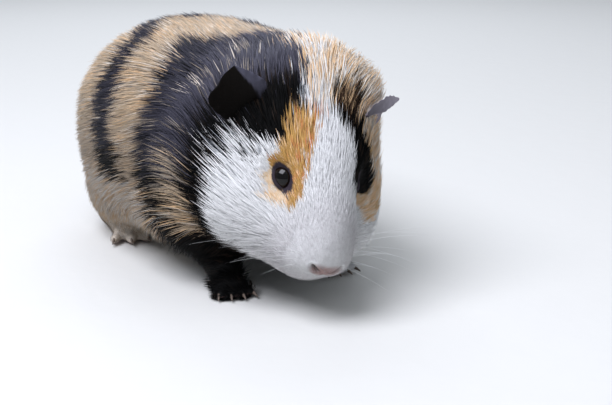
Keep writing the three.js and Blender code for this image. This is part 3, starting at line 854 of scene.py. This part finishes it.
lid_edge = np.full(len(hide_points), OFF_THE_LIDS)
for side in SIDES:
    edge = eye_angles(hide_points, side)[2]
    near = np.linalg.norm(hide_points - eye_centres[side], axis=1) < LID_REACH + 1.5 * MM
    lid_edge = np.where(near, np.minimum(lid_edge, edge), lid_edge)
# Under the coat the skin takes the hair's colour, darkened by a painted shade.
tint = swatches(marking_names(hide_points)) * SKIN_PAINTED_SHADE
tint = lay_colour(tint, 1 - ramp(distance_to_stroke(hide_head, NOSE_PAD), 1.5, 4.5), NOSE_SKIN)
# Nostrils and the lip's groove are painted near-black, a painted shade in these hollows.
tint = lay_colour(tint, 1 - ramp(nostril_near, 0.5, 1.3), RECESS_SHADE)
tint = lay_colour(tint, 0.6 * (1 - ramp(lip_near, 0.2, 1.2)), RECESS_SHADE)
tint = lay_colour(tint, 1 - ramp(lid_edge, 0.85, 1.2), LID_SKIN)
tint = lay_colour(tint, 1 - ramp(hide_points[:, 2], 0.8 * MM, 2.2 * MM), BARE_PINK)
set_colours(skin.data, tint)

# Haired skin: dull, its relief about the spacing of hair roots, 0.7 mm here so that it shows.
haired_skin = skin_or_horn(
    "haired_skin", roughness=0.62, gloss=0.15, pore_size=0.7 * MM, pore_depth=0.25 * MM
)
skin.data.materials.append(haired_skin)

haired = len(skin.data.vertices)  # the hide's own vertices stay first when the ears join it
select_only(skin, *ears)
bpy.ops.object.join()
skin.data.shade_smooth()
edit_whole(skin, bpy.ops.uv.smart_project, angle_limit=math.radians(66), island_margin=0.002)
skin.data.uv_layers[0].name = "OFBake"
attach(skin, "root")
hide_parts(*FLESH, "ear_left", "ear_right")

# ---- Coat: where and how the hair grows ------------------------------
# The lie of the coat runs back from the nose over the face, fans out on the cheeks, and streams
# along the back and down the flanks and legs. Hairs and tufts are measured in millimetres.

SEED = 11
HAIR_LENGTHS = [1, 3, 7, 12, 17]
TUFT_DENSITY = (HAIR_LENGTHS, [7.5, 5.4, 3.1, 2.05, 1.72])  # tufts to the square millimetre
TUFT_WIDTH = (HAIR_LENGTHS, [0.17, 0.23, 0.32, 0.40, 0.44])
TUFT_THICKNESS = 0.45  # of its width
LENGTH_SPREAD, RISE_SPREAD = (0.72, 1.18), (0.7, 1.2)  # from the least to the most, tuft by tuft
TURN_STRAY, RUFF_STRAY = 7, 16  # degrees
TUFTS_TO_A_LOCK = 16
COAT_SOURCE = from_head(0, -33, -15)  # the face's hair streams away from here
LIE_FRONT, LIE_REAR = -0.062, -0.028  # and takes the trunk's lie between these
CROWN_FAN = 0.9
SOLE_HEIGHT = 1.2 * MM
rng = np.random.default_rng(SEED)

points = points_of(skin.data)
normals = unit(relaxed(skin.data, normals_of(skin.data), rounds=6))
head = to_head(points)
from_nose = unit(points - COAT_SOURCE)
outer = np.clip(np.abs(round_trunk(points)) / 90, 0, 1.4)
down_flank = unit(
    np.stack([0.18 * np.sign(points[:, 0]) * outer, 1 + 0 * outer, -0.42 * outer], axis=1)
)
on_head = (1 - ramp(points[:, 1], LIE_FRONT, LIE_REAR))[:, None]
lie = from_nose * on_head + down_flank * (1 - on_head)
# A cowlick on the left of the crown fans the hair out to that side.
crown = ramp(head[:, 1], 17, 26) * (1 - ramp(head[:, 1], 44, 60))
crown *= ramp(-round_head(head), -8, 40) * (1 - ramp(-round_head(head), 52, 80))
lie = lie + crown[:, None] * CROWN_FAN * HEAD_AXES[:, 0]
# On the legs it turns downwards, and on the feet forwards to the toes.
leg = (1 - ramp(points[:, 2], 0.018, 0.032)) * (np.abs(points[:, 0]) > 0.014) * (head[:, 1] > 0)
lie = lie + leg[:, None] * 2 * np.array([0, 0.15, -1.0])
foot = (1 - ramp(points[:, 2], 0.005, 0.011)) * (head[:, 1] > 0)
lie = lie * (1 - foot[:, None]) + foot[:, None] * np.array([0, -1.0, -0.1])
lie = lie - normals * (lie * normals).sum(1, keepdims=True)
lie = unit(relaxed(skin.data, unit(lie), rounds=8))


def finder_of(places):
    """A function that gives the number of the nearest of these places to each of some others."""
    tree = KDTree(len(places))
    for i, place in enumerate(places):
        tree.insert(place, i)
    tree.balance()

    def nearest(others):
        return np.fromiter((tree.find(other)[1] for other in others), int, len(others))

    return nearest


nearest_haired = finder_of(points[:haired])


def on_skin(places):
    """The nearest places on the skin, with the skin's normal and the lie of the coat there."""
    i = nearest_haired(places)
    gap = ((places - points[i]) * normals[i]).sum(1, keepdims=True)
    return places - gap * normals[i], normals[i], lie[i]


# Roots are spread over the skin's triangles by area and density, thinner under the belly.
skin.data.calc_loop_triangles()
corners = read(skin.data.loop_triangles, "vertices", 3, np.int32)
loops = read(skin.data.loop_triangles, "loops", 3, np.int32)
uv = read(skin.data.uv_layers["OFBake"].data, "uv", 2)
vertex_uv = np.zeros((len(points), 2))
vertex_uv[corners] = uv[loops]
a, b, c = (points[corners[:, k]] for k in range(3))
area = np.linalg.norm(np.cross(b - a, c - a), axis=1) / 2
length = coat_length(points)
bare = np.ones(len(points), bool)
bare[:haired] = (
    (lid_edge < 0.85) | (nostril_near < 0.8) | (lip_near < 0.4) | (hide_points[:, 2] < SOLE_HEIGHT)
)
density = np.interp(length, *TUFT_DENSITY) * ~bare
density *= 1 - 0.45 * ramp(np.abs(round_trunk(points)), 125, 160) * (points[:, 1] > -0.05)
weight = area * density[corners].mean(1) / MM**2
total = int(weight.sum())
picks = (np.arange(total) + rng.random(total)) / total * weight.sum()
face = np.minimum(np.searchsorted(np.cumsum(weight), picks), len(corners) - 1)
share = rng.random((total, 2))
share = np.where(share.sum(1, keepdims=True) > 1, 1 - share, share)
share = np.column_stack([1 - share.sum(1), share])
roots = (points[corners[face]] * share[..., None]).sum(1)
root_uv = (uv[loops[face]] * share[..., None]).sum(1)
root_normal = unit((normals[corners[face]] * share[..., None]).sum(1))
root_lie = (lie[corners[face]] * share[..., None]).sum(1)
hair = (length[corners[face]] * share).sum(1) * rng.uniform(*LENGTH_SPREAD, total)

# Each tuft turns a little from the lie, together with its neighbours and on its own.
wave = roots / MM
swirl = 9 * np.sin(wave[:, 0] / 9 + wave[:, 2] / 13) + 7 * np.sin(wave[:, 1] / 11 - wave[:, 2] / 7)
turn = np.radians(swirl + rng.normal(0, TURN_STRAY, total))[:, None]
root_lie = unit(root_lie - root_normal * (root_lie * root_normal).sum(1, keepdims=True))
root_lie = root_lie * np.cos(turn) + np.cross(root_normal, root_lie) * np.sin(turn)
reach = hair * MM
root_head = to_head(roots)

# The long hair of crown and nape stands up in a ruff, mostly left of the blaze, and the cheek's
# long hair stands off the neck in a fringe.
leftward = -round_head(root_head)
ruff = ramp(root_head[:, 1], 19, 27) * (1 - ramp(root_head[:, 1], 46, 62))
ruff *= ramp(leftward, -22, 0) * (1 - ramp(leftward, 50, 80))
fringe = ramp(root_head[:, 1], 6, 16) * (1 - ramp(root_head[:, 1], 26, 36)) * ramp(-leftward, 50, 75)
reach = reach * (1 + 0.3 * fringe)
rise = reach * COAT_RISE * (1 + 0.3 * ruff + 0.35 * fringe + 0.9 * jowl(root_head))
rise *= rng.uniform(*RISE_SPREAD, total) + rng.uniform(-0.3, 0.3, total) * ruff
stray_turn = np.radians(rng.normal(0, RUFF_STRAY, total) * ruff)[:, None]
root_lie = root_lie * np.cos(stray_turn) + np.cross(root_normal, root_lie) * np.sin(stray_turn)
middle, middle_normal, middle_lie = on_skin(roots + root_lie * (reach * 0.45)[:, None])
ahead = unit(root_lie + middle_lie)
end, end_normal, _ = on_skin(middle + ahead * (reach * 0.55)[:, None])
bow = middle + middle_normal * (rise * 0.8)[:, None]
tip = end + end_normal * rise[:, None]

# Tufts lean together into locks, more so where the hair is long.
leaders = rng.choice(total, total // TUFTS_TO_A_LOCK, replace=False)
leader = leaders[finder_of(roots[leaders])(roots)]
pull = np.interp(hair, [2, 6, 14], [0.05, 0.22, 0.34])[:, None]
tip = tip + pull * (tip[leader] + 0.6 * (roots - roots[leader]) - tip)
bow = bow + 0.35 * pull * (bow[leader] + 0.8 * (roots - roots[leader]) - bow)

# ---- Coat: colour ----------------------------------------------------
# Every tuft has one colour of the markings from root to tip, as a lock of hair does: that of the
# place where it shows past the locks over it. Some stray, so that the colours interleave at an edge.

TICKED_BY_LOCK = 0.6  # the share of tufts that are ticked like the rest of their lock
TONE_SPREAD = (0.82, 1.14)
WISP_REACH = 3.5  # millimetres that the cheek's white wisps lie over the dark hair behind them
# Towards the nose the hair is darkened, partly by painted shade and partly by the pink skin:
MUZZLE_PINK_AND_SHADE = np.array([0.24, 0.27, 0.26])  # thin hair there lets the pink skin through
stray = rng.normal(0, 1, (total, 3)) * np.interp(hair, [2, 8, 16], [0.5, 1.3, 2.0])[:, None] * MM
shown = rng.uniform(0.5, 1.0, (total, 1))
seen = roots + shown * (end - roots)
stray[:, 1] += rng.normal(0, WISP_REACH, total) * fringe * MM
names = marking_names(seen + stray)
ground = names.copy()
draw = np.where(rng.random(total) < TICKED_BY_LOCK, rng.random(total)[leader], rng.random(total))
for code, mixed_in in TICKING.items():
    reached = 0.0
    for other, amount in mixed_in:
        names[(ground == code) & (draw >= reached) & (draw < reached + amount)] = other
        reached += amount
kind = np.where(np.isin(names, WHITES), "white", np.where(np.isin(names, DARKS), "dark", "tan"))
tone = swatches(names) * rng.uniform(*TONE_SPREAD, (total, 1))
# The muzzle's darkening: pink skin through thin hair, and painted shade.
tone *= 1 - (1 - ramp(root_head[:, 1], -32, -8))[:, None] * MUZZLE_PINK_AND_SHADE
# The flank's lower hair is painted darker, a painted shade on the lower side of the body.
low_flank_shade = ramp(np.abs(round_trunk(roots)), 55, 108) * ramp(roots[:, 1], -0.036, -0.026)
tone *= 1 - 0.5 * low_flank_shade[:, None]
tone = np.clip(tone, 0, 0.93)
# Tips are painted lighter, for the light that the outer hair catches more than its roots; dark tips most.
painted_tip_light = np.where(kind == "dark", 1.25, 1.05)[:, None]

# ---- Coat: meshes ----------------------------------------------------
# Each tuft is a thin closed lock, three-sided and bent along the body, its root just under the skin.
# The shortest are plain spikes, and the long ruff has a ring more than the rest.

DOWN_LENGTH = 3.0  # millimetres: shorter hair is down
RINGS = {"down": (0.0,), "coat": (0.0, 0.5), "ruff": (0.0, 0.36, 0.72)}
RING_WIDTH = {0.0: 0.8, 0.36: 1.0, 0.5: 0.85, 0.72: 0.7}
TUFT_CORNERS = ((-0.5, -0.3), (0.5, -0.3), (0.0, 0.7))  # across, and above
WIDTH_SPREAD = (0.75, 1.2)
ROOT_DEPTH = 0.35 * MM
# Rings near the root are painted darker, a painted shade deep in the coat.
ROOT_PAINTED_SHADE = 0.72
FLOOR_GAP = 0.3 * MM
PATCH = 0.003  # a tuft's share of the bake map's side
MOST_TRIANGLES = 190_000


def tuft_mesh(name, chosen, rings):
    """Joins the chosen tufts into one mesh with their colours and bake map."""
    n = len(chosen)
    start = roots[chosen] - root_normal[chosen] * ROOT_DEPTH
    bend, stop = bow[chosen], tip[chosen]
    heading = unit(stop - start)
    across = unit(np.cross(heading, root_normal[chosen]) + rng.normal(0, 0.25, (n, 3)))
    above = np.cross(across, heading)
    wide = np.interp(hair[chosen], *TUFT_WIDTH) * MM * rng.uniform(*WIDTH_SPREAD, n)
    verts, shades, maps = [], [], []
    for s in rings:
        centre = (1 - s) ** 2 * start + 2 * s * (1 - s) * bend + s * s * stop
        size = (wide * RING_WIDTH[s])[:, None]
        shade = ROOT_PAINTED_SHADE + (1 - ROOT_PAINTED_SHADE) * min(1, s * 2)
        for i, (u, v) in enumerate(TUFT_CORNERS):
            verts.append(centre + size * (u * across + TUFT_THICKNESS * v * above))
            shades.append(tone[chosen] * shade)
            maps.append((i / 2 - 0.5, s - 0.5))
    verts.append(stop)
    shades.append(tone[chosen] * painted_tip_light[chosen])
    maps.append((0.0, 0.5))
    per = len(verts)
    verts = np.stack(verts, axis=1).reshape(-1, 3)
    verts[:, 2] = np.maximum(verts[:, 2], FLOOR_GAP)
    triangles = [(0, 1, 2)]
    for low in range(0, per - 4, 3):
        for i in range(3):
            j, high = (i + 1) % 3, low + 3
            triangles += [(low + i, high + j, low + j), (low + i, high + i, high + j)]
    last = per - 4
    triangles += [(last + (i + 1) % 3, last + i, per - 1) for i in range(3)]
    corners_all = (np.array(triangles) + per * np.arange(n)[:, None, None]).reshape(-1)
    mesh = bpy.data.meshes.new(name)
    mesh.vertices.add(len(verts))
    mesh.loops.add(len(corners_all))
    mesh.polygons.add(len(corners_all) // 3)
    mesh.vertices.foreach_set("co", verts.astype(np.float32).ravel())
    mesh.loops.foreach_set("vertex_index", corners_all.astype(np.int32))
    mesh.polygons.foreach_set("loop_start", np.arange(0, len(corners_all), 3, dtype=np.int32))
    mesh.polygons.foreach_set("use_smooth", np.ones(len(corners_all) // 3, bool))
    tuft_uv = root_uv[chosen][:, None, :] + np.array(maps) * PATCH
    layer = mesh.uv_layers.new(name="OFBake")
    layer.data.foreach_set("uv", tuft_uv.reshape(-1, 2)[corners_all].astype(np.float32).ravel())
    mesh.update(calc_edges=True)
    # Locks are shaded half like the body under them, as soft fur is.
    body = np.repeat(root_normal[chosen], per, axis=0)
    mesh.normals_split_custom_set_from_vertices(unit(normals_of(mesh) + body))
    set_colours(mesh, np.stack(shades, axis=1).reshape(-1, 3))
    return mesh


STREAK_WIDTH = MM / 1.8  # 0.56 mm; real hairs, 0.06 mm wide, would be too fine to show


def hair_material(name, roughness, gloss, sheen):
    """Hair in its own colour, streaked like single hairs."""
    material, tree = new_material(name)
    place = add_node(tree, "ShaderNodeTexCoord", {}).outputs["Object"]
    streaked = varied_tint(tree, place, STREAK_WIDTH, detail=2.0, darkest=0.93, lightest=1.07)
    shader = add_node(
        tree,
        "ShaderNodeBsdfPrincipled",
        {
            "Base Color": streaked,
            "Roughness": roughness,
            "Specular IOR Level": gloss,
            "Sheen Weight": sheen,
            "Sheen Roughness": 0.4,
        },
    )
    add_node(tree, "ShaderNodeOutputMaterial", {"Surface": shader.outputs["BSDF"]})
    return material


# Unpigmented guard hair scatters light and looks chalky; black hair is sleek, with hardly a sheen of
# its own; tan hair lies between.
HAIRS = {
    "white": hair_material("white_guard_hair", roughness=0.6, gloss=0.25, sheen=0.05),
    "dark": hair_material("black_guard_hair", roughness=0.5, gloss=0.05, sheen=0.0),
    "tan": hair_material("tan_guard_hair", roughness=0.55, gloss=0.25, sheen=0.05),
}
builds = np.where(hair < DOWN_LENGTH, "down", np.where(ruff > 0.2, "ruff", "coat"))
for colour, guard_hair in HAIRS.items():
    for build, rings in RINGS.items():
        mine = np.flatnonzero((kind == colour) & (builds == build))
        mine = mine[np.argsort(roots[mine][:, 1], kind="stable")]
        triangles_each = 6 * (len(rings) - 1) + 4
        pieces = math.ceil(len(mine) * triangles_each / MOST_TRIANGLES)
        for i, chosen in enumerate(np.array_split(mine, pieces)):
            name = f"coat_{colour}_{build}_{i + 1}"
            tufts = add_piece(name, tuft_mesh(name, chosen, rings))
            tufts.data.materials.append(guard_hair)
            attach(tufts, "root")

# ---- Eyes ------------------------------------------------------------
# Globes of clear cornea over a dark brown iris and a wide black pupil, wet and very glossy. Each is a
# whole ball that lies in its socket and is held by the lids.

PUPIL_COLOUR = "#070505"
IRIS_COLOUR = "#170e0a"
PUPIL_RADIUS, IRIS_START = 2.4 * MM, 3.6 * MM
for side, centre in eye_centres.items():
    bpy.ops.mesh.primitive_uv_sphere_add(segments=64, ring_count=32, radius=EYE_RADIUS, location=centre)
    eyeball = bpy.context.object
    eyeball.name = "eyeball_" + side
    bpy.ops.object.transform_apply(location=True)
    bpy.ops.object.shade_smooth()
    # The wet cornea: a deep tone with a faint warm ring, and a sharp reflection.
    wet_eye, tree = new_material("wet_cornea_" + side)
    pupil = centre + HEAD_AXES @ unit(EYE_OUTWARD * [SIDES[side], 1, 1]) * EYE_RADIUS
    place = add_node(tree, "ShaderNodeTexCoord", {})
    gap = add_node(
        tree,
        "ShaderNodeVectorMath",
        {0: place.outputs["Object"], 1: pupil.tolist()},
        operation="DISTANCE",
    )
    ring = add_node(
        tree,
        "ShaderNodeMapRange",
        {"Value": gap.outputs["Value"], "From Min": PUPIL_RADIUS, "From Max": IRIS_START},
    )
    iris = add_node(
        tree,
        "ShaderNodeMix",
        {"Factor": ring.outputs["Result"], "A": linear(PUPIL_COLOUR) + [1], "B": linear(IRIS_COLOUR) + [1]},
        data_type="RGBA",
    )
    shader = add_node(
        tree,
        "ShaderNodeBsdfPrincipled",
        {"Base Color": iris.outputs["Result"], "Roughness": 0.03, "IOR": 1.37},
    )
    add_node(tree, "ShaderNodeOutputMaterial", {"Surface": shader.outputs["BSDF"]})
    eyeball.data.materials.append(wet_eye)
    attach(eyeball, "root")
    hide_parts("eye_" + side)

# ---- Claws -----------------------------------------------------------
# Short blunt claws of horn, translucent grey-brown, four on each forefoot and three on each hind
# foot. Each grows out of its own toe, and is its solid with the edges rounded off.

HORN = "#6f6258"
PALE_HEIGHT = 5 * MM  # above the floor the horn grows paler, up to here
# Claw horn: smooth and half glossy. Its grain is drawn 0.5 mm wide, coarser than real, so that it shows.
claw_horn = skin_or_horn(
    "claw_horn", roughness=0.35, gloss=0.4, pore_size=0.5 * MM, pore_depth=0.06 * MM
)
for node in CLAWS:
    claw = copy_of_node(node, node.replace("claw", "_claw"))
    apply_modifier(claw, "SUBSURF", levels=2, render_levels=2)
    claw.data.shade_smooth()
    height = np.clip(points_of(claw.data)[:, 2] / PALE_HEIGHT, 0, 1)
    set_colours(claw.data, np.array(linear(HORN)) * (0.7 + 0.5 * height)[:, None])
    claw.data.materials.append(claw_horn)
    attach(claw, "root")
    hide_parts(node)

# ---- Whiskers --------------------------------------------------------
# Long white sensing hairs, stiff and tapering, in three rows on each side of the muzzle. Each is a
# three-sided tube that leaves the lip sideways and back, and droops under its own weight.

WHISKER_RADIUS = 0.09 * MM
WHISKER_RINGS = 9
WHISKER_ROWS, WHISKER_COLUMNS = 3, 4


def whisker_points(root, direction, length, droop):
    """Rings of three points along the whisker, and its tip."""
    heading = unit(direction)
    side = unit(np.cross(heading, [0, 0, 1.0]))
    lift = np.cross(side, heading)
    sag = np.array([0, 0, droop * length])
    points = []
    for ring in range(WHISKER_RINGS):
        t = ring / WHISKER_RINGS
        centre = root + heading * length * t - sag * t * t
        thin = WHISKER_RADIUS * (1 - 0.8 * t)
        for k in range(3):
            angle = 2 * math.pi * k / 3
            points.append(centre + thin * (math.cos(angle) * side + math.sin(angle) * lift))
    points.append(root + heading * length - sag)
    return points


def whisker_faces(base):
    """Faces from the point that the whisker starts with: two ends and the rings between."""
    tip = base + 3 * WHISKER_RINGS
    faces = []
    for low in range(base, tip - 3, 3):
        for k in range(3):
            n, high = (k + 1) % 3, low + 3
            faces.append((low + k, low + n, high + n, high + k))
    faces += [(tip - 3 + k, tip - 3 + (k + 1) % 3, tip) for k in range(3)]
    return faces + [(base + 2, base + 1, base)]


verts, faces, maps = [], [], []
for side in SIDES.values():
    for row in range(WHISKER_ROWS):
        for column in range(WHISKER_COLUMNS):
            spread = rng.normal(0, 0.12, 3)
            where = from_head(side * (8.5 + 0.9 * column), -31 + 3.2 * column, -8 - 2.4 * row)
            root, outwards, _ = (found[0] for found in on_skin(np.array([where])))
            root = root - outwards * MM
            aim = outwards + HEAD_AXES @ np.array([side * 0.9, 0.55 - 0.1 * row, 0.35 - 0.28 * row])
            length = (17 + 8 * column + rng.uniform(-5, 7)) * MM
            droop = 0.12 + 0.1 * rng.random()
            faces += whisker_faces(len(verts))
            verts += whisker_points(root, aim + spread, length, droop)
            root_map = vertex_uv[nearest_haired([root])[0]]
            for i in range(3 * WHISKER_RINGS + 1):
                maps.append(root_map + np.array([i % 3 / 2 - 0.5, i / (3 * WHISKER_RINGS) - 0.5]) * PATCH)
mesh = bpy.data.meshes.new("whiskers")
mesh.from_pydata([tuple(v) for v in verts], [], faces)
layer = mesh.uv_layers.new(name="OFBake")
for loop in mesh.loops:
    layer.data[loop.index].uv = maps[loop.vertex_index]
whiskers = add_piece("whiskers", mesh)
mesh.shade_smooth()
set_colours(mesh, np.tile(linear(WHITE), (len(verts), 1)))
mesh.materials.append(HAIRS["white"])
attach(whiskers, "root")
